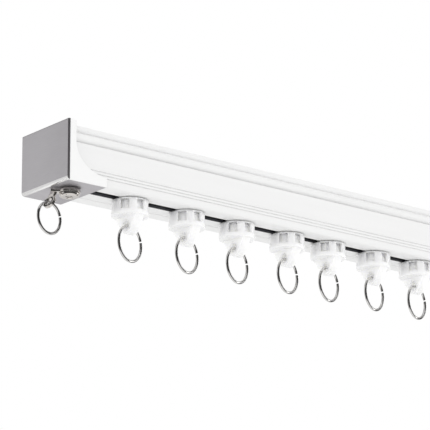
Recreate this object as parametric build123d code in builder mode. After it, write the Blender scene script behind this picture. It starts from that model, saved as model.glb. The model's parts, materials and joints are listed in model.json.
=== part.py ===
"""Decorative curtain rail: a white aluminium section with a cornice-like front, closed by a metal-faced cap at
each end, hung from two wall brackets, with wheeled runners whose eyes carry open wire rings, and a swivelling
return hook with a ring of its own under each cap.

Frame: millimetres, +X along the rail, +Y into the wall, +Z up. The origin is on the wall face, in the middle of
the four wall screw holes. Section points are given as (depth, height): depth behind the front face of the caps,
height above the underside of the caps.
"""

import os
from math import cos, radians, sin, tan

from build123d import *

# ---- overall size ----
overall_length = 600.0
cap_width = 24.0
cap_depth = 38.6
cap_height = 31.0
cap_to_wall = 0.4
underside_z = -18.0
front_y = -(cap_depth + cap_to_wall)
left_x = -overall_length / 2

# ---- rail section ----
rail_end_gap = 3.7
rail_bottom = 0.8
rail_top = 28.6
rail_front = 1.4
rail_back = 33.4
wall = 1.2
edge_round = 1.3
panel_front = 1.7
panel_bottom = 8.7
panel_top = 20.3
groove_heights = (4.5, 6.05, 7.6)
groove_width = 0.5
groove_depth = 0.5
lower_roll_back = 4.3
roll_valley = 3.1
lower_roll_front = 1.9
lower_roll_bottom = 21.1
lower_roll_middle = 24.0
roll_valley_height = 25.9
upper_roll_top = 27.5
lower_roll_start = (-1, 0.25)
lower_roll_end = (1, 0.9)
upper_roll_start = (-1, 0.1)
rear_groove_depth = 25.1
rear_groove_width = 0.6
rear_groove_rise = 0.45
panel_bevel = 0.3
lip_bevel = 0.3
back_top_bevel = 0.4
back_bottom_bevel = 0.6

# ---- runner track inside the rail ----
slot_centre = 14.0
slot_width = 5.6
track_width = 14.0
track_floor = 2.2
track_top = 12.0

# ---- top channel that the brackets clip into ----
channel_floor = 24.1
channel_top = 27.5
channel_front = 5.2
channel_mouth_front = 7.4
channel_mouth_back = 28.0

# ---- end caps ----
cover_side = 1.5
cover_sheet = 0.8
cover_flange = 5.2
cheek_thickness = 1.2
cheek_width = cap_width
cheek_curve_top = 20.75
cheek_curve_bottom = 4.75
end_wall = 1.8
end_wall_back_gap = 0.8
plug_length = 14.0
plug_wall = 2.0
plug_front = 7.5
plug_back = 30.0
plug_gap = 0.6
stop_block_length = 18.0
stop_block_gap = 0.4

# ---- return hook under each cap ----
hook_x = 11.35
hook_screw_radius = 1.5
screw_hole_gap = 0.1
hook_screw_top = 10.0
shoulder_radius = 2.5
running_gap = 0.05
washer_radius = 4.4
washer_thickness = 0.5
face_gap = 0.2
arm_thickness = 1.5
arm_eye_radius = 5.5
arm_width = 5.0
arm_bend_reach = 7.6
arm_turn = 28.0
lug_turn = -10.0
lug_slant = 26.0
lug_neck_width = 3.6
lug_eye_radius = 3.5
lug_hole_height = -7.6
lug_hole_radius = 1.9
screw_head_radius = 5.1
screw_head_height = 1.8
screw_head_round = 1.5
cross_length = 4.6
cross_width = 0.9
cross_depth = 0.9

# ---- wire rings ----
wire_radius = 0.75
runner_ring_radius = 9.05
runner_ring_turn = 15.0
end_ring_radius = 7.75
end_ring_turn = 10.8
ring_split_angle = 4.0
ring_split_rise = 16.0
ring_drop = 0.35

# ---- runners ----
runner_x = (48.8, 85.3, 118.8, 153.6, 183.0, 216.5, 249.0, 284.0, 319.0)
crown_radius = 9.4
crown_wall = 1.7
crown_top = 0.2
crown_lid = 0.5
crown_floor_top = -5.4
crown_floor_bottom = -7.6
crown_window_width = 4.7
crown_window_spread = 54.0
core_foot_radius = 8.0
core_top_radius = 6.6
neck_length = 9.0
neck_thickness = 4.4
neck_round = 0.8
wheel_radius = 3.9
wheel_width = 2.8
wheel_inner_face = 3.1
wheel_gap = 0.05
wheel_bevel = 0.3
axle_radius = 1.0
axle_head_radius = 1.6
axle_half_length = 6.5
axle_head_length = 0.45
neck_top = 9.4
tongue_thickness = 5.4
tongue_shoulder = 8.2
tongue_waist = 4.9
tongue_waist_height = -13.0
tongue_bottom = -16.7
tongue_hole_height = -12.0
tongue_hole_radius = 2.4

# ---- wall brackets ----
bracket_spacing = 400.0
bracket_width = 20.0
bracket_sheet = 1.6
bracket_bevel = 1.0
bracket_bottom = 5.0
wall_hole_spacing = 14.0
wall_hole_radius = 2.3
toe_front = 5.8
toe_rise_back = 9.4
toe_bottom = 26.0
lever_pivot_depth = 24.0
lever_bottom = 25.7
lever_top = 27.2
lever_bore_radius = 2.05
lever_hub_radius = 4.0
lever_nose_reach = 6.6
lever_nose_width = 6.0
lever_handle_reach = 14.0
lever_handle_width = 5.0
lever_handle_round = 1.5
thumb_pad_length = 3.0
thumb_pad_inset = 2.0
thumb_pad_round = 0.6
thumb_pad_height = 1.0
rivet_radius = 2.0
rivet_collar_radius = 3.0
rivet_head_radius = 3.4
rivet_head_height = 0.8


def section(depth, height):
    """A (Y, Z) point of the row frame from a depth and a height."""
    return (front_y + depth, underside_z + height)


def front_view(from_left, height):
    """An (X, Z) point of the row frame, measured from the left end and the underside of the caps."""
    return (left_x + from_left, underside_z + height)


def plane_at_height(from_left, depth, height):
    """A horizontal plane through a point, facing up."""
    return Plane(
        origin=(left_x + from_left, front_y + depth, underside_z + height)
    )


def save(piece, name):
    piece.part.label = name
    export_step(piece.part, f"parts/{name}.step")


def rail_outline():
    """The outside of the rail section, from the slot's front lip round to its rear lip."""
    slot_front = slot_centre - slot_width / 2
    slot_back = slot_centre + slot_width / 2
    rear_groove_front = rear_groove_depth - rear_groove_width / 2
    rear_groove_back = rear_groove_depth + rear_groove_width / 2
    slot_lip = section(slot_front, rail_bottom)
    round_start = section(rail_front + edge_round, rail_bottom)
    round_end = section(rail_front, rail_bottom + edge_round)
    Polyline(slot_lip, round_start)
    RadiusArc(round_start, round_end, edge_round)
    band = [round_end]
    for height in groove_heights:
        low = height - groove_width / 2
        high = height + groove_width / 2
        band.append(section(rail_front, low))
        band.append(section(rail_front + groove_depth, low))
        band.append(section(rail_front + groove_depth, high))
        band.append(section(rail_front, high))
    band.append(section(rail_front, panel_bottom - panel_bevel))
    band.append(section(panel_front, panel_bottom))
    band.append(section(panel_front, panel_top))
    band.append(section(lower_roll_back, panel_top + panel_bevel))
    band.append(section(lower_roll_back, lower_roll_bottom))
    Polyline(*band)
    valley = section(roll_valley, roll_valley_height)
    Spline(
        band[-1],
        section(lower_roll_front, lower_roll_middle),
        valley,
        tangents=[lower_roll_start, lower_roll_end],
    )
    Spline(
        valley,
        section(rail_front, upper_roll_top),
        tangents=[upper_roll_start, (0, 1)],
    )
    Polyline(
        section(rail_front, upper_roll_top),
        section(rail_front, rail_top - lip_bevel),
        section(rail_front + lip_bevel, rail_top),
        section(channel_mouth_front, rail_top),
        section(channel_mouth_front, channel_top),
        section(channel_front, channel_top),
        section(channel_front, channel_floor),
        section(rail_back - wall, channel_floor),
        section(rail_back - wall, channel_top),
        section(channel_mouth_back, channel_top),
        section(channel_mouth_back, rail_top),
        section(rail_back - back_top_bevel, rail_top),
        section(rail_back, rail_top - back_top_bevel),
        section(rail_back, rail_bottom + back_bottom_bevel),
        section(rail_back - back_bottom_bevel, rail_bottom),
        section(rear_groove_back, rail_bottom),
        section(rear_groove_back, rail_bottom + rear_groove_rise),
        section(rear_groove_front, rail_bottom + rear_groove_rise),
        section(rear_groove_front, rail_bottom),
        section(slot_back, rail_bottom),
        section(slot_back, track_floor),
        section(slot_centre + track_width / 2, track_floor),
        section(slot_centre + track_width / 2, track_top),
        section(slot_centre - track_width / 2, track_top),
        section(slot_centre - track_width / 2, track_floor),
        section(slot_front, track_floor),
        slot_lip,
    )


def rail_hollow():
    """The closed chamber of the section, above and on both sides of the runner track."""
    inner_front = panel_front + wall
    inner_back = rail_back - wall
    ceiling = channel_floor - wall
    track_front = slot_centre - track_width / 2 - wall
    track_back = slot_centre + track_width / 2 + wall
    Polyline(
        section(inner_front, track_floor),
        section(inner_front, panel_top - wall),
        section(lower_roll_back + wall, panel_top),
        section(lower_roll_back + wall, ceiling),
        section(inner_back, ceiling),
        section(inner_back, track_floor),
        section(track_back, track_floor),
        section(track_back, track_top + wall),
        section(track_front, track_top + wall),
        section(track_front, track_floor),
        close=True,
    )


def make_rail():
    rail_length = overall_length - 2 * rail_end_gap
    with BuildPart() as rail:
        with BuildSketch(Plane.YZ.offset(-rail_length / 2)):
            with BuildLine():
                rail_outline()
            make_face()
            with BuildLine():
                rail_hollow()
            make_face(mode=Mode.SUBTRACT)
        extrude(amount=rail_length)
    return rail


def make_cap_cover():
    """The metal cover: side plate, underside and a narrow top flange in one bent piece."""
    with BuildPart() as cover:
        with BuildSketch(Plane.XZ.offset(-front_y)):
            with BuildLine():
                bend = cover_side
                Line(front_view(0, bend), front_view(0, cap_height - bend / 2))
                RadiusArc(
                    front_view(0, cap_height - bend / 2),
                    front_view(bend / 2, cap_height),
                    bend / 2,
                )
                Polyline(
                    front_view(bend / 2, cap_height),
                    front_view(cover_flange, cap_height),
                    front_view(cover_flange, cap_height - cover_sheet),
                    front_view(cover_side, cap_height - cover_sheet),
                    front_view(cover_side, cover_sheet),
                    front_view(cap_width, cover_sheet),
                    front_view(cap_width, 0),
                    front_view(bend, 0),
                )
                RadiusArc(front_view(bend, 0), front_view(0, bend), bend)
            make_face()
        extrude(amount=-cap_depth)
        with BuildSketch(Plane.XZ.offset(-front_y)):
            with BuildLine():
                Polyline(
                    front_view(cover_side, 0),
                    front_view(cheek_width, 0),
                    front_view(cheek_width, cap_height),
                    front_view(cover_side, cap_height),
                    close=True,
                )
            make_face()
        extrude(amount=-cheek_thickness, mode=Mode.SUBTRACT)
        with BuildSketch(plane_at_height(hook_x, slot_centre, 0)):
            Circle(hook_screw_radius + screw_hole_gap)
        extrude(amount=cover_sheet, mode=Mode.SUBTRACT)
    return cover


def make_cap_body():
    """The moulded inner part: the cheek on the front, an end wall, a plug in the rail and a stop in the track."""
    inside_top = cap_height - cover_sheet
    plug_bottom = track_top + wall + plug_gap
    plug_top = channel_floor - wall - plug_gap
    block_half_width = track_width / 2 - stop_block_gap
    with BuildPart() as body:
        with BuildSketch(Plane.XZ.offset(-front_y)):
            with BuildLine():
                Polyline(
                    front_view(cover_flange, cheek_curve_top),
                    front_view(cover_flange, cap_height),
                    front_view(cover_side, cap_height),
                    front_view(cover_side, 0),
                    front_view(cheek_width, 0),
                    front_view(cheek_width, cheek_curve_bottom),
                )
                EllipticalCenterArc(
                    front_view(cheek_width, cheek_curve_top),
                    cheek_width - cover_flange,
                    cheek_curve_top - cheek_curve_bottom,
                    start_angle=180,
                    arc_size=90,
                )
            make_face()
        extrude(amount=-cheek_thickness)
        with BuildSketch(Plane.YZ.offset(left_x + cover_side)):
            with BuildLine():
                Polyline(
                    section(cheek_thickness, cover_sheet),
                    section(cap_depth - end_wall_back_gap, cover_sheet),
                    section(cap_depth - end_wall_back_gap, inside_top),
                    section(cheek_thickness, inside_top),
                    close=True,
                )
            make_face()
        extrude(amount=end_wall)
        inner_x = left_x + cover_side + end_wall
        with BuildSketch(Plane.YZ.offset(inner_x)):
            with BuildLine():
                Polyline(
                    section(plug_front, plug_bottom),
                    section(plug_back, plug_bottom),
                    section(plug_back, plug_top),
                    section(plug_front, plug_top),
                    close=True,
                )
            make_face()
            offset(amount=-plug_wall, mode=Mode.SUBTRACT, kind=Kind.INTERSECTION)
        extrude(amount=plug_length)
        with BuildSketch(Plane.YZ.offset(inner_x)):
            with BuildLine():
                Polyline(
                    section(slot_centre - block_half_width, track_floor),
                    section(slot_centre + block_half_width, track_floor),
                    section(slot_centre + block_half_width, track_top - stop_block_gap),
                    section(slot_centre - block_half_width, track_top - stop_block_gap),
                    close=True,
                )
            make_face()
        extrude(amount=stop_block_length)
        with BuildSketch(plane_at_height(hook_x, slot_centre, 0)):
            Circle(hook_screw_radius)
        extrude(amount=hook_screw_top, mode=Mode.SUBTRACT)
    return body


def make_hook_screw():
    """Shouldered screw: a thread up into the stop block, a shoulder for the arm and a domed cross-head below."""
    head_top = -washer_thickness - arm_thickness - 2 * face_gap
    head_bottom = head_top - screw_head_height
    with BuildPart() as screw:
        with BuildSketch(plane_at_height(hook_x, slot_centre, 0)):
            Circle(hook_screw_radius)
        extrude(amount=hook_screw_top)
        with BuildSketch(plane_at_height(hook_x, slot_centre, head_top)):
            Circle(shoulder_radius)
        extrude(amount=-head_top)
        with BuildSketch(plane_at_height(hook_x, slot_centre, head_bottom)):
            Circle(screw_head_radius)
        extrude(amount=screw_head_height)
        fillet(screw.edges().group_by(Axis.Z)[0], radius=screw_head_round)
        with BuildSketch(plane_at_height(hook_x, slot_centre, head_bottom)):
            Rectangle(cross_length, cross_width)
            Rectangle(cross_width, cross_length)
        extrude(amount=cross_depth, mode=Mode.SUBTRACT)
    return screw


def make_hook_washer():
    with BuildPart() as washer:
        with BuildSketch(plane_at_height(hook_x, slot_centre, -washer_thickness)):
            Circle(washer_radius)
            Circle(shoulder_radius + 0.1, mode=Mode.SUBTRACT)
        extrude(amount=washer_thickness)
    return washer


def turned_left(turn):
    """Unit vector pointing left along the rail, turned towards the wall."""
    return Vector(-cos(radians(turn)), sin(radians(turn)), 0)


def lug_hole_centre():
    arm_middle = -washer_thickness - face_gap - arm_thickness / 2
    drop = arm_middle - lug_hole_height
    pivot = Vector(left_x + hook_x, front_y + slot_centre, underside_z + lug_hole_height)
    bend = pivot + turned_left(arm_turn) * arm_bend_reach
    return bend + turned_left(lug_turn) * drop * tan(radians(lug_slant))


def make_hook_arm():
    """The swivel arm: a flat eye on the screw's shoulder, a short strap and a lug bent down to hold the ring."""
    arm_bottom = -washer_thickness - face_gap - arm_thickness
    outward = turned_left(arm_turn)
    lug_outward = turned_left(lug_turn)
    lug_sideways = Vector(0, 0, 1).cross(lug_outward)
    lug_up = Vector(0, 0, 1) * cos(radians(lug_slant)) - lug_outward * sin(radians(lug_slant))
    arm_plane = Plane(
        origin=(left_x + hook_x, front_y + slot_centre, underside_z + arm_bottom),
        x_dir=outward,
        z_dir=(0, 0, 1),
    )
    lug_plane = Plane(
        origin=lug_hole_centre(),
        x_dir=lug_sideways,
        z_dir=lug_sideways.cross(lug_up),
    )
    lug_length = (arm_bottom + arm_thickness - lug_hole_height) / cos(radians(lug_slant))
    strap_half = arm_width / 2
    bend_skew = strap_half * tan(radians(arm_turn - lug_turn))
    with BuildPart() as arm:
        with BuildSketch(arm_plane):
            Circle(arm_eye_radius)
            with BuildLine():
                Polyline(
                    (0, -strap_half),
                    (arm_bend_reach - bend_skew, -strap_half),
                    (arm_bend_reach + bend_skew, strap_half),
                    (0, strap_half),
                    close=True,
                )
            make_face()
            Circle(shoulder_radius + running_gap, mode=Mode.SUBTRACT)
        extrude(amount=arm_thickness)
        with BuildSketch(lug_plane):
            with Locations((0, lug_length / 2)):
                Rectangle(lug_neck_width, lug_length)
            Circle(lug_eye_radius)
        extrude(amount=arm_thickness / 2, both=True)
        with BuildSketch(lug_plane):
            Circle(lug_hole_radius)
        extrude(amount=arm_thickness, both=True, mode=Mode.SUBTRACT)
        with BuildSketch(plane_at_height(hook_x, slot_centre, arm_bottom + arm_thickness)):
            Rectangle(4 * arm_bend_reach, 4 * arm_bend_reach)
        extrude(amount=arm_thickness, mode=Mode.SUBTRACT)
    return arm


def make_ring(top, radius, turn):
    """An open wire ring that hangs from its top point, its plane turned about Z, split on its right side."""
    up = Vector(0, 0, 1)
    centre = top - up * radius
    along = Vector(cos(radians(turn)), sin(radians(turn)), 0)
    start_angle = radians(ring_split_rise + ring_split_angle / 2)
    profile_plane = Plane(
        origin=centre,
        x_dir=along * cos(start_angle) + up * sin(start_angle),
        z_dir=up * cos(start_angle) - along * sin(start_angle),
    )
    with BuildPart() as ring:
        with BuildSketch(profile_plane):
            with Locations((radius, 0)):
                Circle(wire_radius)
        revolve(
            axis=Axis(centre, along.cross(up)),
            revolution_arc=360 - ring_split_angle,
        )
    return ring


def make_runner_body(x):
    """Moulded runner: windowed crown under the rail, neck through the slot, tongue with the ring's eye."""
    axle_height = track_floor + wheel_gap + wheel_radius
    lid_bottom = crown_top - crown_lid
    runner_plane = Plane(
        origin=(left_x + x, front_y + slot_centre, underside_z),
        x_dir=(1, 0, 0),
        z_dir=(0, -1, 0),
    )
    with BuildPart() as body:
        with BuildSketch(plane_at_height(x, slot_centre, crown_floor_bottom)):
            Circle(crown_radius)
        extrude(amount=crown_floor_top - crown_floor_bottom)
        with BuildSketch(plane_at_height(x, slot_centre, crown_floor_top)):
            Circle(crown_radius)
            Circle(crown_radius - crown_wall, mode=Mode.SUBTRACT)
            for facing in (-90, 90):
                with PolarLocations(
                    crown_radius,
                    3,
                    start_angle=facing - crown_window_spread,
                    angular_range=2 * crown_window_spread,
                    endpoint=True,
                ):
                    Rectangle(3 * crown_wall, crown_window_width, mode=Mode.SUBTRACT)
        extrude(amount=lid_bottom - crown_floor_top)
        with BuildSketch(plane_at_height(x, slot_centre, lid_bottom)):
            Circle(crown_radius)
        extrude(amount=crown_lid)
        with BuildSketch(runner_plane):
            with BuildLine():
                Polyline(
                    (core_top_radius, lid_bottom),
                    (0, lid_bottom),
                    (0, crown_floor_top),
                    (core_foot_radius, crown_floor_top),
                )
                EllipticalCenterArc(
                    (core_foot_radius, lid_bottom),
                    core_foot_radius - core_top_radius,
                    lid_bottom - crown_floor_top,
                    start_angle=180,
                    arc_size=90,
                )
            make_face()
        revolve(axis=Axis(runner_plane.origin, (0, 0, 1)))
        with BuildSketch(plane_at_height(x, slot_centre, crown_floor_top)):
            RectangleRounded(neck_length, neck_thickness, neck_round)
        extrude(amount=neck_top - crown_floor_top)
        with BuildSketch(Plane.YZ.offset(left_x + x)):
            with BuildLine():
                Polyline(
                    section(slot_centre - tongue_waist, tongue_waist_height),
                    section(slot_centre - tongue_shoulder, crown_floor_bottom),
                    section(slot_centre + tongue_shoulder, crown_floor_bottom),
                    section(slot_centre + tongue_waist, tongue_waist_height),
                )
                Spline(
                    section(slot_centre + tongue_waist, tongue_waist_height),
                    section(slot_centre, tongue_bottom),
                    section(slot_centre - tongue_waist, tongue_waist_height),
                    tangents=[(-0.5, -1), (-0.5, 1)],
                )
            make_face()
            with Locations(section(slot_centre, tongue_hole_height)):
                Circle(tongue_hole_radius, mode=Mode.SUBTRACT)
        extrude(amount=tongue_thickness / 2, both=True)
        with BuildSketch(Plane.XZ.offset(-front_y - slot_centre)):
            with Locations(front_view(x, axle_height)):
                Circle(axle_radius)
        extrude(amount=neck_thickness, both=True, mode=Mode.SUBTRACT)
    return body


def make_runner_axle(x):
    axle_height = track_floor + wheel_gap + wheel_radius
    with BuildPart() as axle:
        with BuildSketch(Plane.XZ.offset(-front_y - slot_centre)):
            with Locations(front_view(x, axle_height)):
                Circle(axle_radius)
        extrude(amount=axle_half_length, both=True)
        for side in (-1, 1):
            head_plane = Plane.XZ.offset(
                -front_y - slot_centre - side * (axle_half_length - axle_head_length)
            )
            with BuildSketch(head_plane):
                with Locations(front_view(x, axle_height)):
                    Circle(axle_head_radius)
            extrude(amount=-side * axle_head_length)
    return axle


def make_runner_wheels(x):
    """Two plain wheels, one each side of the neck, with bevelled treads."""
    axle_height = track_floor + wheel_gap + wheel_radius
    with BuildPart() as wheels:
        for side in (-1, 1):
            inner_plane = Plane.XZ.offset(-front_y - slot_centre - side * wheel_inner_face)
            with BuildSketch(inner_plane):
                with Locations(front_view(x, axle_height)):
                    Circle(wheel_radius)
                    Circle(axle_radius + running_gap, mode=Mode.SUBTRACT)
            extrude(amount=-side * wheel_width)
        chamfer(wheels.edges().filter_by(GeomType.CIRCLE).sort_by(SortBy.RADIUS)[-4:], wheel_bevel)
    return wheels


def make_bracket(x):
    """Bent sheet bracket: wall plate, arm over the rail and a toe under the front lip of its top channel."""
    with BuildPart() as bracket:
        with BuildSketch(Plane.YZ.offset(x - bracket_width / 2)):
            wall_depth = -front_y
            arm_top = rail_top + bracket_sheet
            with BuildLine():
                Polyline(
                    section(wall_depth, bracket_bottom),
                    section(wall_depth, arm_top - bracket_bevel),
                    section(wall_depth - bracket_bevel, arm_top),
                    section(toe_rise_back - bracket_sheet, arm_top),
                    section(toe_rise_back - bracket_sheet, channel_top),
                    section(toe_front, channel_top),
                    section(toe_front, toe_bottom),
                    section(toe_rise_back, toe_bottom),
                    section(toe_rise_back, rail_top),
                    section(wall_depth - bracket_sheet, rail_top),
                    section(wall_depth - bracket_sheet, bracket_bottom),
                    close=True,
                )
            make_face()
        extrude(amount=bracket_width)
        with BuildSketch(Plane.XZ):
            with Locations((x, 0)):
                with GridLocations(0, wall_hole_spacing, 1, 2):
                    Circle(wall_hole_radius)
        extrude(amount=bracket_sheet, mode=Mode.SUBTRACT)
        with BuildSketch(
            plane_at_height(x - left_x, lever_pivot_depth, rail_top)
        ):
            Circle(rivet_radius)
        extrude(amount=bracket_sheet, mode=Mode.SUBTRACT)
    return bracket


def make_bracket_lever(x):
    """Flat cam lever: locked, its nose lies under the rear lip of the channel and its handle along the rail."""
    with BuildPart() as lever:
        with BuildSketch(plane_at_height(x - left_x, lever_pivot_depth, lever_bottom)):
            Circle(lever_hub_radius)
            with Locations((0, lever_nose_reach / 2)):
                Rectangle(lever_nose_width, lever_nose_reach)
            with Locations((lever_handle_reach / 2, 0)):
                RectangleRounded(lever_handle_reach, lever_handle_width, lever_handle_round)
            Circle(lever_bore_radius, mode=Mode.SUBTRACT)
        extrude(amount=lever_top - lever_bottom)
        with BuildSketch(plane_at_height(x - left_x, lever_pivot_depth, lever_top)):
            with Locations((lever_handle_reach - thumb_pad_inset, 0)):
                RectangleRounded(thumb_pad_length, lever_handle_width - 1.0, thumb_pad_round)
        extrude(amount=thumb_pad_height)
    return lever


def make_bracket_rivet(x):
    """Shouldered rivet that hangs the lever under the arm."""
    lower_head_top = lever_bottom - face_gap
    heights = (
        (lower_head_top - rivet_head_height, lower_head_top, rivet_head_radius),
        (lower_head_top, rail_top + bracket_sheet, rivet_radius),
        (lever_top + face_gap / 2, rail_top, rivet_collar_radius),
        (rail_top + bracket_sheet, rail_top + bracket_sheet + rivet_head_height, rivet_head_radius),
    )
    with BuildPart() as rivet:
        for bottom, top, radius in heights:
            with BuildSketch(plane_at_height(x - left_x, lever_pivot_depth, bottom)):
                Circle(radius)
            extrude(amount=top - bottom)
    return rivet


def mirrored(piece):
    """The same piece for the other end of the rail."""
    with BuildPart() as other:
        mirror(piece.part, about=Plane.YZ)
    return other


os.makedirs("parts", exist_ok=True)

save(make_rail(), "rail")

end_ring_top = lug_hole_centre() - Vector(0, 0, 1) * ring_drop
cap_pieces = {
    "cap_cover": make_cap_cover(),
    "cap_body": make_cap_body(),
    "hook_screw": make_hook_screw(),
    "hook_washer": make_hook_washer(),
    "hook_arm": make_hook_arm(),
    "hook_ring": make_ring(end_ring_top, end_ring_radius, end_ring_turn),
}
for piece_name, left_piece in cap_pieces.items():
    save(left_piece, f"{piece_name}_left")
    save(mirrored(left_piece), f"{piece_name}_right")

for number, x in enumerate(runner_x, start=1):
    save(make_runner_body(x), f"runner_{number}_body")
    save(make_runner_axle(x), f"runner_{number}_axle")
    save(make_runner_wheels(x), f"runner_{number}_wheels")
    eye = Vector(left_x + x, front_y + slot_centre, underside_z + tongue_hole_height)
    ring_top = eye - Vector(0, 0, 1) * ring_drop
    save(make_ring(ring_top, runner_ring_radius, runner_ring_turn), f"runner_{number}_ring")

for side_name, bracket_x in (("left", -bracket_spacing / 2), ("right", bracket_spacing / 2)):
    save(make_bracket(bracket_x), f"bracket_{side_name}")
    save(make_bracket_lever(bracket_x), f"bracket_lever_{side_name}")
    save(make_bracket_rivet(bracket_x), f"bracket_rivet_{side_name}")
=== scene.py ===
"""Looks for the curtain rail: edge-rounded copies of the frame's nodes, smooth wire rings, procedural
materials, a studio world and the camera.

The scene is in metres, in the frame's own axes: +X along the rail, +Y into the wall, +Z up."""

import json
from math import cos, pi, radians, sin

import bmesh
import bpy
from mathutils import Matrix, Vector


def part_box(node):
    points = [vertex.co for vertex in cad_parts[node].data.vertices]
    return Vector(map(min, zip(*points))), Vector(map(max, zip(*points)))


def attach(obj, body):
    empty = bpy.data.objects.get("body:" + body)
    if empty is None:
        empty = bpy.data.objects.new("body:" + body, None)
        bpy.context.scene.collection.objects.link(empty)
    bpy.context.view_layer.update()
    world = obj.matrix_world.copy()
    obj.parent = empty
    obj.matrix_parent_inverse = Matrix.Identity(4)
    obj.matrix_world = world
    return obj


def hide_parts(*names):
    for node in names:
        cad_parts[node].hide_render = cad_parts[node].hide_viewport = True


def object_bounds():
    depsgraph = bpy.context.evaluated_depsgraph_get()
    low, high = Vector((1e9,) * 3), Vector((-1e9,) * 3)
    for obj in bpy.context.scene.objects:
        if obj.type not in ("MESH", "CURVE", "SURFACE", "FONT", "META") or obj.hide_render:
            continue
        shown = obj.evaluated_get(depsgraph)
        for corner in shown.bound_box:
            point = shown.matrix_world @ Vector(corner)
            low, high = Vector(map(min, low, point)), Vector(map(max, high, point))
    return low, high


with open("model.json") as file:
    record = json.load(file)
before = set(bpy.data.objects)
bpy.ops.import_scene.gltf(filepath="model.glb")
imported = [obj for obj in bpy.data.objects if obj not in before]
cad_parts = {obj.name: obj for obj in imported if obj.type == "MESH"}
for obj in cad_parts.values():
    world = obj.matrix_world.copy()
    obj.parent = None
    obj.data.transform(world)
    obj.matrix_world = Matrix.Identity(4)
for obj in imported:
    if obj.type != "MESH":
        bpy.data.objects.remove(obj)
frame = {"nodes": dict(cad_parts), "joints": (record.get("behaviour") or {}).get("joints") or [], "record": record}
cad_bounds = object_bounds()
nodes = frame["nodes"]
joints = {joint["name"]: joint for joint in frame["joints"]}
MM = 0.001
SIDES = ("left", "right")
RUNNERS = range(1, sum(name.startswith("runner_slide_") for name in joints) + 1)

# ---- camera: the lens and the sensor in millimetres, the clip distances in metres ----
camera_place = Vector((-898.4, -867.3, -329.2)) * MM
camera_azimuth = radians(39.83)
camera_pitch = radians(15.997)
camera_roll = radians(-0.47)
camera_lens = 185.03
camera_sensor = 36.0
camera_clip = (0.05, 40.0)

# ---- floor and side light, in metres ----
floor_drop = 4.5
floor_half_size = 3.5
floor_cells = 8
side_light_place = (2.2, -1.0, -0.3)
side_light_size = (0.4, 2.6)
side_light_watts = 7.0

# ---- brightness of the studio: what the camera sees, what lights matt surfaces, and the dark and the light
# side that mirror-like surfaces see ----
backdrop_level = 1.0
diffuse_level = 1.06
room_level = 0.04
wall_level = 0.72

# ---- fades between those two sides: where each starts and ends, as a part of a direction of length 1, and
# how much brighter it gets low down ----
wall_side_fade = (0.0, 0.45)
wall_top_fade = (0.42, 0.6)
ceiling_fade = (0.65, 0.86)
ground_fade = (-0.5, -0.85)
low_glow_fade = (-0.35, -0.6)
low_glow_gain = 1.35

# ---- rings: the wire's radius in millimetres, how far up the ring its gap is and how wide, in degrees ----
wire_radius = 0.75
ring_split_rise = 16.0
ring_split_angle = 4.0
wire_spokes = 20
wire_stations = 112

# ---- the wire's rounded ends, as parts of its radius ----
tip_steps = 4
tip_reach = 0.55
tip_radius = 0.45

# ---- cap covers, in millimetres; a face turned further down than underside_facing is the underside ----
cover_edge_round = 0.6
cover_edge_steps = 5
cover_front_depth = 0.05
cover_bend = 1.55
cover_bend_start = 1.0
cover_roughness = 0.38
underside_roughness = 0.55
underside_facing = -0.9

# ---- the limits of the painted shade inside the track, in millimetres: beside the axle, over the wheels, over the rail's bottom ----
track_side_margin = 0.8
track_top_margin = 2.4
slot_lip_margin = 0.12

# ---- the middle range of a noise texture's values ----
texture_low = 0.3
texture_high = 0.7

# ---- rounded edges, in millimetres ----
rail_round = 0.14
cap_round = 0.12
screw_round = 0.12
arm_round = 0.3
bracket_round = 0.3
lever_round = 0.25
rivet_round = 0.2
runner_round = 0.3
axle_round = 0.1
wheel_round = 0.15

# ---- angles between faces, in degrees, and the distance in millimetres at which points are merged ----
flat_below = 0.6
round_above = 28.0
shade_sharp_above = 32.0
shade_sharp_above_on_wire = 50.0
merge_distance = 0.002


# ------------------------------------------------------------------ mesh helpers
def body_of_node(node):
    for body, members in frame["record"]["behaviour"]["bodies"].items():
        if node in members:
            return body


def add_piece(name, mesh, node):
    """Puts a finished mesh in the scene in place of a CAD node, on its body."""
    piece = bpy.data.objects.new(name, mesh)
    bpy.context.scene.collection.objects.link(piece)
    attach(piece, body_of_node(node))
    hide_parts(node)


def smooth(mesh, angle=shade_sharp_above):
    mesh.shade_smooth()
    mesh.set_sharp_from_angle(angle=radians(angle))


def round_over(bm, edges, width, segments):
    """Rounds the edges over by a width in millimetres."""
    bmesh.ops.bevel(
        bm,
        geom=edges,
        offset=width * MM,
        offset_type="OFFSET",
        segments=segments,
        profile=0.5,
        affect="EDGES",
        clamp_overlap=True,
    )


def sharp_edges(bm):
    return [
        edge
        for edge in bm.edges
        if len(edge.link_faces) == 2 and edge.calc_face_angle() > radians(round_above)
    ]


def softened_mesh(node, width, segments=2, worn=None):
    """The node's own shape with its sharp edges rounded over by a small width, in millimetres.

    Edges whose two ends both pass the worn test are rounded first, as widely as a cover's front edge."""
    bm = bmesh.new()
    bm.from_mesh(nodes[node].data)
    bmesh.ops.remove_doubles(bm, verts=bm.verts, dist=merge_distance * MM)
    bmesh.ops.dissolve_limit(
        bm,
        angle_limit=radians(flat_below),
        verts=bm.verts,
        edges=bm.edges,
    )
    if worn:
        chosen = [edge for edge in sharp_edges(bm) if all(worn(end.co) for end in edge.verts)]
        round_over(bm, chosen, cover_edge_round, cover_edge_steps)
    round_over(bm, sharp_edges(bm), width, segments)
    bm.normal_update()
    mesh = bpy.data.meshes.new(f"{node}_soft")
    bm.to_mesh(mesh)
    bm.free()
    smooth(mesh)
    return mesh


def soften_node(node, width, look, segments=2):
    """Adds the node's rounded-over copy in one look, and returns its mesh."""
    mesh = softened_mesh(node, width, segments)
    mesh.materials.append(look)
    add_piece(f"{node}_shell", mesh, node)
    return mesh


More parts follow.
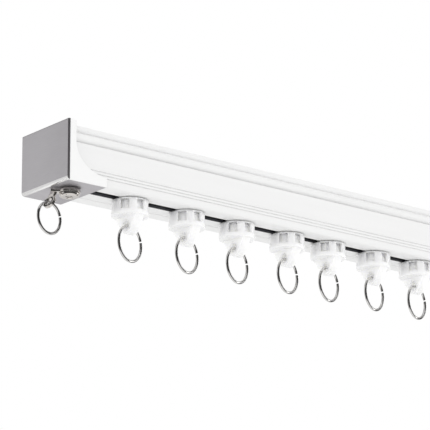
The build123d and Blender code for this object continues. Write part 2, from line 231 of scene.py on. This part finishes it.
# ------------------------------------------------------------------ material helpers
class Look:
    """A node material under construction: a Principled shader with object-space texture nodes around it."""

    def __init__(self, name, colour, metallic=0.0, roughness=0.4):
        self.material = bpy.data.materials.new(name)
        self.material.use_nodes = True
        self.tree = self.material.node_tree
        self.shader = self.tree.nodes["Principled BSDF"]
        self.coords = self.tree.nodes.new("ShaderNodeTexCoord").outputs["Object"]
        self.set("Base Color", (*colour, 1.0))
        self.set("Metallic", metallic)
        self.set("Roughness", roughness)
        self.colour = colour

    def set(self, socket, value):
        self.shader.inputs[socket].default_value = value

    def link(self, output, target):
        self.tree.links.new(output, target)

    def stretched(self, scale):
        """Object coordinates scaled per axis, in waves per millimetre."""
        mapping = self.tree.nodes.new("ShaderNodeMapping")
        mapping.inputs["Scale"].default_value = [s / MM for s in scale]
        self.link(self.coords, mapping.inputs["Vector"])
        return mapping.outputs["Vector"]

    def noise(self, scale, detail=3.0, roughness=0.5):
        node = self.tree.nodes.new("ShaderNodeTexNoise")
        node.inputs["Scale"].default_value = 1.0
        node.inputs["Detail"].default_value = detail
        node.inputs["Roughness"].default_value = roughness
        self.link(self.stretched(scale), node.inputs["Vector"])
        return node.outputs["Fac"]

    def spread(self, source, low, high):
        """Maps a texture's middle range to low..high."""
        node = self.tree.nodes.new("ShaderNodeMapRange")
        node.inputs["From Min"].default_value = texture_low
        node.inputs["From Max"].default_value = texture_high
        node.inputs["To Min"].default_value = low
        node.inputs["To Max"].default_value = high
        self.link(source, node.inputs["Value"])
        return node.outputs["Result"]

    def tint(self, source, low, high):
        """Varies the base colour between two shares of itself."""
        ramp = self.tree.nodes.new("ShaderNodeValToRGB")
        ramp.color_ramp.elements[0].position = texture_low
        ramp.color_ramp.elements[1].position = texture_high
        ramp.color_ramp.elements[0].color = [*(c * low for c in self.colour), 1.0]
        ramp.color_ramp.elements[1].color = [*(c * high for c in self.colour), 1.0]
        self.link(source, ramp.inputs["Fac"])
        self.link(ramp.outputs["Color"], self.shader.inputs["Base Color"])

    def rough(self, source, low, high):
        self.link(self.spread(source, low, high), self.shader.inputs["Roughness"])

    def bump(self, source, height, below=None):
        """Raises the surface by the texture, height in millimetres; below is an earlier bump to add to."""
        node = self.tree.nodes.new("ShaderNodeBump")
        node.inputs["Strength"].default_value = 1.0
        node.inputs["Distance"].default_value = height * MM
        self.link(source, node.inputs["Height"])
        if below:
            self.link(below, node.inputs["Normal"])
        self.link(node.outputs["Normal"], self.shader.inputs["Normal"])
        return node.outputs["Normal"]


def white_paint():
    """Powder coat on extruded aluminium: faint orange peel and very faint lines along the extrusion."""
    look = Look("white_paint", (0.88, 0.88, 0.878), roughness=0.34)
    lines = look.noise((0.002, 1.6, 1.6), detail=2.0)
    peel = look.noise((0.9, 0.9, 0.9), detail=2.0)
    look.tint(look.noise((0.02, 0.2, 0.2)), 0.985, 1.005)
    look.rough(look.noise((0.15, 0.3, 0.3)), 0.30, 0.40)
    look.bump(peel, 0.010, look.bump(lines, 0.006))
    return look.material


def white_moulding():
    look = Look("white_moulding", (0.915, 0.915, 0.912), roughness=0.38)
    grain = look.noise((3.0, 3.0, 3.0), detail=2.0)
    look.tint(look.noise((0.1, 0.1, 0.1)), 0.985, 1.0)
    look.rough(grain, 0.34, 0.44)
    look.bump(grain, 0.006)
    return look.material


def track_shadow():
    """Painted shade: a dark colour on the inside of the runner track, standing in for the shade in that deep
    cavity.
    """
    look = Look("track_shadow", (0.09, 0.09, 0.1), roughness=0.6)
    lines = look.noise((0.003, 2.0, 2.0), detail=3.0)
    look.tint(lines, 0.7, 1.3)
    look.rough(lines, 0.5, 0.7)
    look.bump(lines, 0.01)
    return look.material


def brushed_metal(name, roughness):
    """Fine brushing on the cover, running from front to back."""
    look = Look(name, (0.565, 0.55, 0.57), metallic=1.0, roughness=roughness)
    hair = look.noise((6.0, 0.12, 6.0), detail=4.0, roughness=0.65)
    cloud = look.noise((0.08, 0.05, 0.08), detail=3.0)
    look.tint(hair, 0.94, 1.05)
    look.rough(cloud, roughness - 0.04, roughness + 0.04)
    look.bump(hair, 0.003)
    look.set("Anisotropic", 0.4)
    return look.material


def bend_highlight_metal():
    """Painted highlight along the cover's lower bend: a much brighter base colour standing in for the light the
    bend catches, with a lower roughness.
    """
    look = Look("bend_painted_highlight", (0.93, 0.925, 0.92), metallic=1.0, roughness=0.22)
    hair = look.noise((6.0, 0.12, 6.0), detail=4.0, roughness=0.65)
    look.tint(hair, 0.96, 1.0)
    look.rough(hair, 0.18, 0.26)
    look.bump(hair, 0.002)
    return look.material


def bright_plate():
    look = Look("bright_plate", (0.72, 0.69, 0.66), metallic=1.0, roughness=0.12)
    scuffs = look.noise((1.2, 1.2, 1.2), detail=4.0)
    look.tint(look.noise((0.5, 0.5, 0.5)), 0.93, 1.03)
    look.rough(scuffs, 0.1, 0.2)
    look.bump(scuffs, 0.002)
    return look.material


def ring_wire():
    look = Look("ring_wire", (0.70, 0.69, 0.68), metallic=1.0, roughness=0.1)
    drawn = look.noise((2.5, 2.5, 2.5), detail=3.0)
    look.tint(look.noise((0.4, 0.4, 0.4)), 0.93, 1.03)
    look.rough(drawn, 0.07, 0.16)
    look.bump(drawn, 0.003)
    return look.material


def axle_steel():
    look = Look("axle_steel", (0.5, 0.5, 0.5), metallic=1.0, roughness=0.3)
    turned = look.noise((4.0, 0.4, 4.0), detail=3.0)
    look.tint(turned, 0.9, 1.05)
    look.rough(turned, 0.22, 0.38)
    look.bump(turned, 0.003)
    return look.material


def runner_nylon():
    """Natural nylon: milky and slightly cloudy, with light scattered inside it."""
    look = Look("runner_nylon", (0.985, 0.985, 0.98), roughness=0.3)
    cloud = look.noise((0.25, 0.25, 0.25), detail=2.0)
    look.tint(cloud, 0.97, 1.0)
    look.rough(look.noise((1.5, 1.5, 1.5)), 0.24, 0.36)
    look.bump(look.noise((1.2, 1.2, 1.2), detail=2.0), 0.008)
    look.set("Subsurface Weight", 1.0)
    look.set("Subsurface Radius", (1.0, 1.0, 0.95))
    look.set("Subsurface Scale", 5.0 * MM)
    return look.material


def wheel_nylon():
    look = Look("wheel_nylon", (0.85, 0.85, 0.83), roughness=0.4)
    look.tint(look.noise((0.5, 0.5, 0.5)), 0.95, 1.0)
    look.rough(look.noise((2.0, 2.0, 2.0)), 0.34, 0.46)
    look.bump(look.noise((3.0, 0.5, 3.0)), 0.006)
    return look.material


def bracket_paint():
    look = Look("bracket_paint", (0.84, 0.84, 0.835), roughness=0.42)
    peel = look.noise((1.1, 1.1, 1.1), detail=2.0)
    look.tint(look.noise((0.08, 0.08, 0.08)), 0.97, 1.0)
    look.rough(peel, 0.36, 0.5)
    look.bump(peel, 0.02)
    return look.material


# ------------------------------------------------------------------ rings
def wire_loops(wire, ring_radius):
    """Each loop's place around the ring and its radius, from one rounded end of the wire to the other."""
    dome = [pi / 2 * step / tip_steps for step in range(tip_steps)]
    first = radians(ring_split_rise + ring_split_angle / 2)
    sweep = radians(360.0 - ring_split_angle)
    dome_turn = tip_reach * wire / ring_radius

    def dome_radius(angle):
        return wire * (tip_radius + (1 - tip_radius) * sin(angle))

    loops = []
    for angle in dome:
        loops.append((first + dome_turn * (1 - sin(angle)), dome_radius(angle)))
    for step in range(wire_stations + 1):
        loops.append((first + dome_turn + (sweep - 2 * dome_turn) * step / wire_stations, wire))
    for angle in reversed(dome):
        loops.append((first + sweep - dome_turn * (1 - sin(angle)), dome_radius(angle)))
    return loops


def ring_mesh(name, top, along, ring_radius, look):
    """An open wire ring, hanging from its top point in the plane of along and Z, with rounded wire ends."""
    up = Vector((0.0, 0.0, 1.0))
    centre = top - up * ring_radius
    across = along.cross(up)
    bm = bmesh.new()
    rows = []
    for turn, radius in wire_loops(wire_radius * MM, ring_radius):
        outward = along * cos(turn) + up * sin(turn)
        middle = centre + outward * ring_radius
        row = []
        for spoke in range(wire_spokes):
            angle = 2 * pi * spoke / wire_spokes
            row.append(bm.verts.new(middle + (outward * cos(angle) + across * sin(angle)) * radius))
        rows.append(row)
    for low, high in zip(rows, rows[1:]):
        for spoke in range(wire_spokes):
            after = (spoke + 1) % wire_spokes
            bm.faces.new((low[spoke], low[after], high[after], high[spoke]))
    bm.faces.new(rows[0])
    bm.faces.new(reversed(rows[-1]))
    bmesh.ops.recalc_face_normals(bm, faces=bm.faces)
    mesh = bpy.data.meshes.new(name)
    bm.to_mesh(mesh)
    bm.free()
    smooth(mesh, shade_sharp_above_on_wire)
    mesh.materials.append(look)
    return mesh


def make_ring(node, joint_name, look):
    joint = joints[joint_name]
    low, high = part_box(node)
    ring_radius = (high.z - low.z) / 2 - wire_radius * MM
    top = Vector(joint["pos_m"])
    along = Vector(joint["axis"]).normalized()
    mesh = ring_mesh(f"{node}_wire", top, along, ring_radius, look)
    add_piece(f"{node}_wire", mesh, node)


# ------------------------------------------------------------------ rail
def make_rail(paint, shadow):
    """The painted extrusion; the faces inside the runner track get a dark colour, painted shade for the deep
    track.
    """
    mesh = soften_node("rail", rail_round, paint, segments=3)
    mesh.materials.append(shadow)
    axle_low, axle_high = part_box("runner_1_axle")
    inside_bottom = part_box("rail")[0].z + slot_lip_margin * MM
    inside_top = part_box("runner_1_wheels")[1].z + track_top_margin * MM
    side = track_side_margin * MM
    # faces inside the track take the dark colour, painted shade
    for face in mesh.polygons:
        middle = face.center
        in_track = axle_low.y - side < middle.y < axle_high.y + side
        if in_track and inside_bottom < middle.z < inside_top:
            face.material_index = 1


# ------------------------------------------------------------------ end caps
def make_cover(side, brushed, bend_highlight, matted):
    """The bent metal cover: rounded front edge, a painted highlight band along its lower bend, a duller underside.
    """
    node = f"cap_cover_{side}"
    low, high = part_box(node)
    outer = max(abs(low.x), abs(high.x))

    def on_front_edge(point):
        at_front = point.y < low.y + cover_front_depth * MM
        return at_front and abs(point.x) > outer - cover_edge_round * MM

    mesh = softened_mesh(node, cap_round, worn=on_front_edge)
    mesh.materials.append(brushed)
    mesh.materials.append(bend_highlight)
    mesh.materials.append(matted)
    # faces along the lower bend take the painted highlight, faces turned down the duller underside
    for face in mesh.polygons:
        middle = face.center
        in_bend = middle.z < low.z + cover_bend * MM and abs(middle.x) > outer - cover_bend * MM
        if in_bend and middle.y > low.y + cover_bend_start * MM:
            face.material_index = 1
        elif face.normal.z < underside_facing:
            face.material_index = 2
    add_piece(f"{node}_shell", mesh, node)


# ------------------------------------------------------------------ studio
def make_camera():
    """The camera at its place, turned by its three angles."""
    data = bpy.data.cameras.new("camera")
    data.sensor_width = camera_sensor
    data.lens = camera_lens
    data.clip_start, data.clip_end = camera_clip
    forward = Vector(
        (
            sin(camera_azimuth) * cos(camera_pitch),
            cos(camera_azimuth) * cos(camera_pitch),
            sin(camera_pitch),
        )
    )
    level = Vector((cos(camera_azimuth), -sin(camera_azimuth), 0.0))
    above = level.cross(forward)
    right = level * cos(camera_roll) + above * sin(camera_roll)
    up = above * cos(camera_roll) - level * sin(camera_roll)
    camera = bpy.data.objects.new("camera", data)
    turn = Matrix((right, up, -forward)).transposed().to_4x4()
    camera.matrix_world = Matrix.Translation(camera_place) @ turn
    bpy.context.scene.collection.objects.link(camera)
    bpy.context.scene.camera = camera


def make_world():
    """A white studio for the camera and for matt surfaces, where mirror-like surfaces see a dark room side.

    Those surfaces see light towards the wall, up to a dark band, and again at the ceiling and the ground."""
    world = bpy.data.worlds.new("studio")
    bpy.context.scene.world = world
    world.use_nodes = True
    tree = world.node_tree
    background = tree.nodes["Background"]
    coords = tree.nodes.new("ShaderNodeTexCoord").outputs["Generated"]
    split = tree.nodes.new("ShaderNodeSeparateXYZ")
    tree.links.new(coords, split.inputs["Vector"])
    rays = tree.nodes.new("ShaderNodeLightPath")
    towards_wall = split.outputs["Y"]
    upward = split.outputs["Z"]

    def combine(operation, first, second):
        node = tree.nodes.new("ShaderNodeMath")
        node.operation = operation
        tree.links.new(first, node.inputs[0])
        tree.links.new(second, node.inputs[1])
        return node.outputs["Value"]

    def ease(value, fade, low, high):
        """Goes smoothly from low to high while the value goes through the fade."""
        node = tree.nodes.new("ShaderNodeMapRange")
        node.interpolation_type = "SMOOTHSTEP"
        node.inputs["From Min"].default_value = fade[0]
        node.inputs["From Max"].default_value = fade[1]
        node.inputs["To Min"].default_value = low
        node.inputs["To Max"].default_value = high
        tree.links.new(value, node.inputs["Value"])
        return node.outputs["Result"]

    def seen_by(ray, others, own):
        """Gives one kind of ray its own strength, and all others another."""
        mix = tree.nodes.new("ShaderNodeMix")
        tree.links.new(rays.outputs[ray], mix.inputs["Factor"])
        for socket, value in (("A", others), ("B", own)):
            if isinstance(value, float):
                mix.inputs[socket].default_value = value
            else:
                tree.links.new(value, mix.inputs[socket])
        return mix.outputs["Result"]

    on_wall_side = ease(towards_wall, wall_side_fade, 0.0, 1.0)
    below_dark_band = ease(upward, wall_top_fade, 1.0, 0.0)
    wall_light = combine("MULTIPLY", on_wall_side, below_dark_band)
    ceiling_light = ease(upward, ceiling_fade, 0.0, 1.0)
    ground_light = ease(upward, ground_fade, 0.0, 1.0)
    open_light = combine("MAXIMUM", wall_light, combine("MAXIMUM", ceiling_light, ground_light))
    low_glow = ease(upward, low_glow_fade, 1.0, low_glow_gain)
    glossy_light = combine("MULTIPLY", ease(open_light, (0.0, 1.0), room_level, wall_level), low_glow)
    reflected = seen_by("Is Glossy Ray", diffuse_level, glossy_light)
    strength = seen_by("Is Camera Ray", reflected, backdrop_level)
    tree.links.new(strength, background.inputs["Strength"])
    background.inputs["Color"].default_value = (1.0, 1.0, 1.0, 1.0)


def make_light(name, place, target, size, watts):
    data = bpy.data.lights.new(name, "AREA")
    data.shape = "RECTANGLE"
    data.size, data.size_y = size
    data.energy = watts
    light = bpy.data.objects.new(name, data)
    light.location = place
    light.rotation_euler = (Vector(target) - Vector(place)).to_track_quat("-Z", "Y").to_euler()
    bpy.context.scene.collection.objects.link(light)


def make_floor():
    """A pale, slightly mottled studio floor, far below the rail."""
    look = Look("floor_paper", (0.86, 0.86, 0.855), roughness=0.7)
    look.tint(look.noise((0.002, 0.002, 0.002)), 0.98, 1.0)
    look.bump(look.noise((0.2, 0.2, 0.2)), 0.05)
    bm = bmesh.new()
    bmesh.ops.create_grid(bm, x_segments=floor_cells, y_segments=floor_cells, size=floor_half_size)
    mesh = bpy.data.meshes.new("floor")
    bm.to_mesh(mesh)
    bm.free()
    mesh.materials.append(look.material)
    floor = bpy.data.objects.new("floor", mesh)
    floor.location.z = cad_bounds[0].z - floor_drop
    bpy.context.scene.collection.objects.link(floor)


# ------------------------------------------------------------------ build
def main():
    bpy.context.scene.view_settings.view_transform = "Standard"
    make_camera()
    make_world()
    make_floor()
    rail_low, rail_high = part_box("rail")
    middle = (rail_low + rail_high) / 2
    make_light("right_box", side_light_place, middle, side_light_size, side_light_watts)

    paint = white_paint()
    moulding = white_moulding()
    cover = brushed_metal("brushed_cover", cover_roughness)
    underside = brushed_metal("brushed_underside", underside_roughness)
    bend_highlight_look = bend_highlight_metal()
    plate = bright_plate()
    wire = ring_wire()
    steel = axle_steel()
    nylon = runner_nylon()
    wheel = wheel_nylon()
    coat = bracket_paint()

    make_rail(paint, track_shadow())
    for side in SIDES:
        make_cover(side, cover, bend_highlight_look, underside)
        soften_node(f"cap_body_{side}", cap_round, moulding)
        soften_node(f"hook_screw_{side}", screw_round, plate)
        soften_node(f"hook_washer_{side}", screw_round, plate)
        soften_node(f"hook_arm_{side}", arm_round, plate, segments=3)
        make_ring(f"hook_ring_{side}", f"hook_ring_swing_{side}", wire)
        soften_node(f"bracket_{side}", bracket_round, coat)
        soften_node(f"bracket_lever_{side}", lever_round, coat)
        soften_node(f"bracket_rivet_{side}", rivet_round, plate)
    for number in RUNNERS:
        soften_node(f"runner_{number}_body", runner_round, nylon, segments=3)
        soften_node(f"runner_{number}_axle", axle_round, steel)
        soften_node(f"runner_{number}_wheels", wheel_round, wheel)
        make_ring(f"runner_{number}_ring", f"ring_swing_{number}", wire)


main()
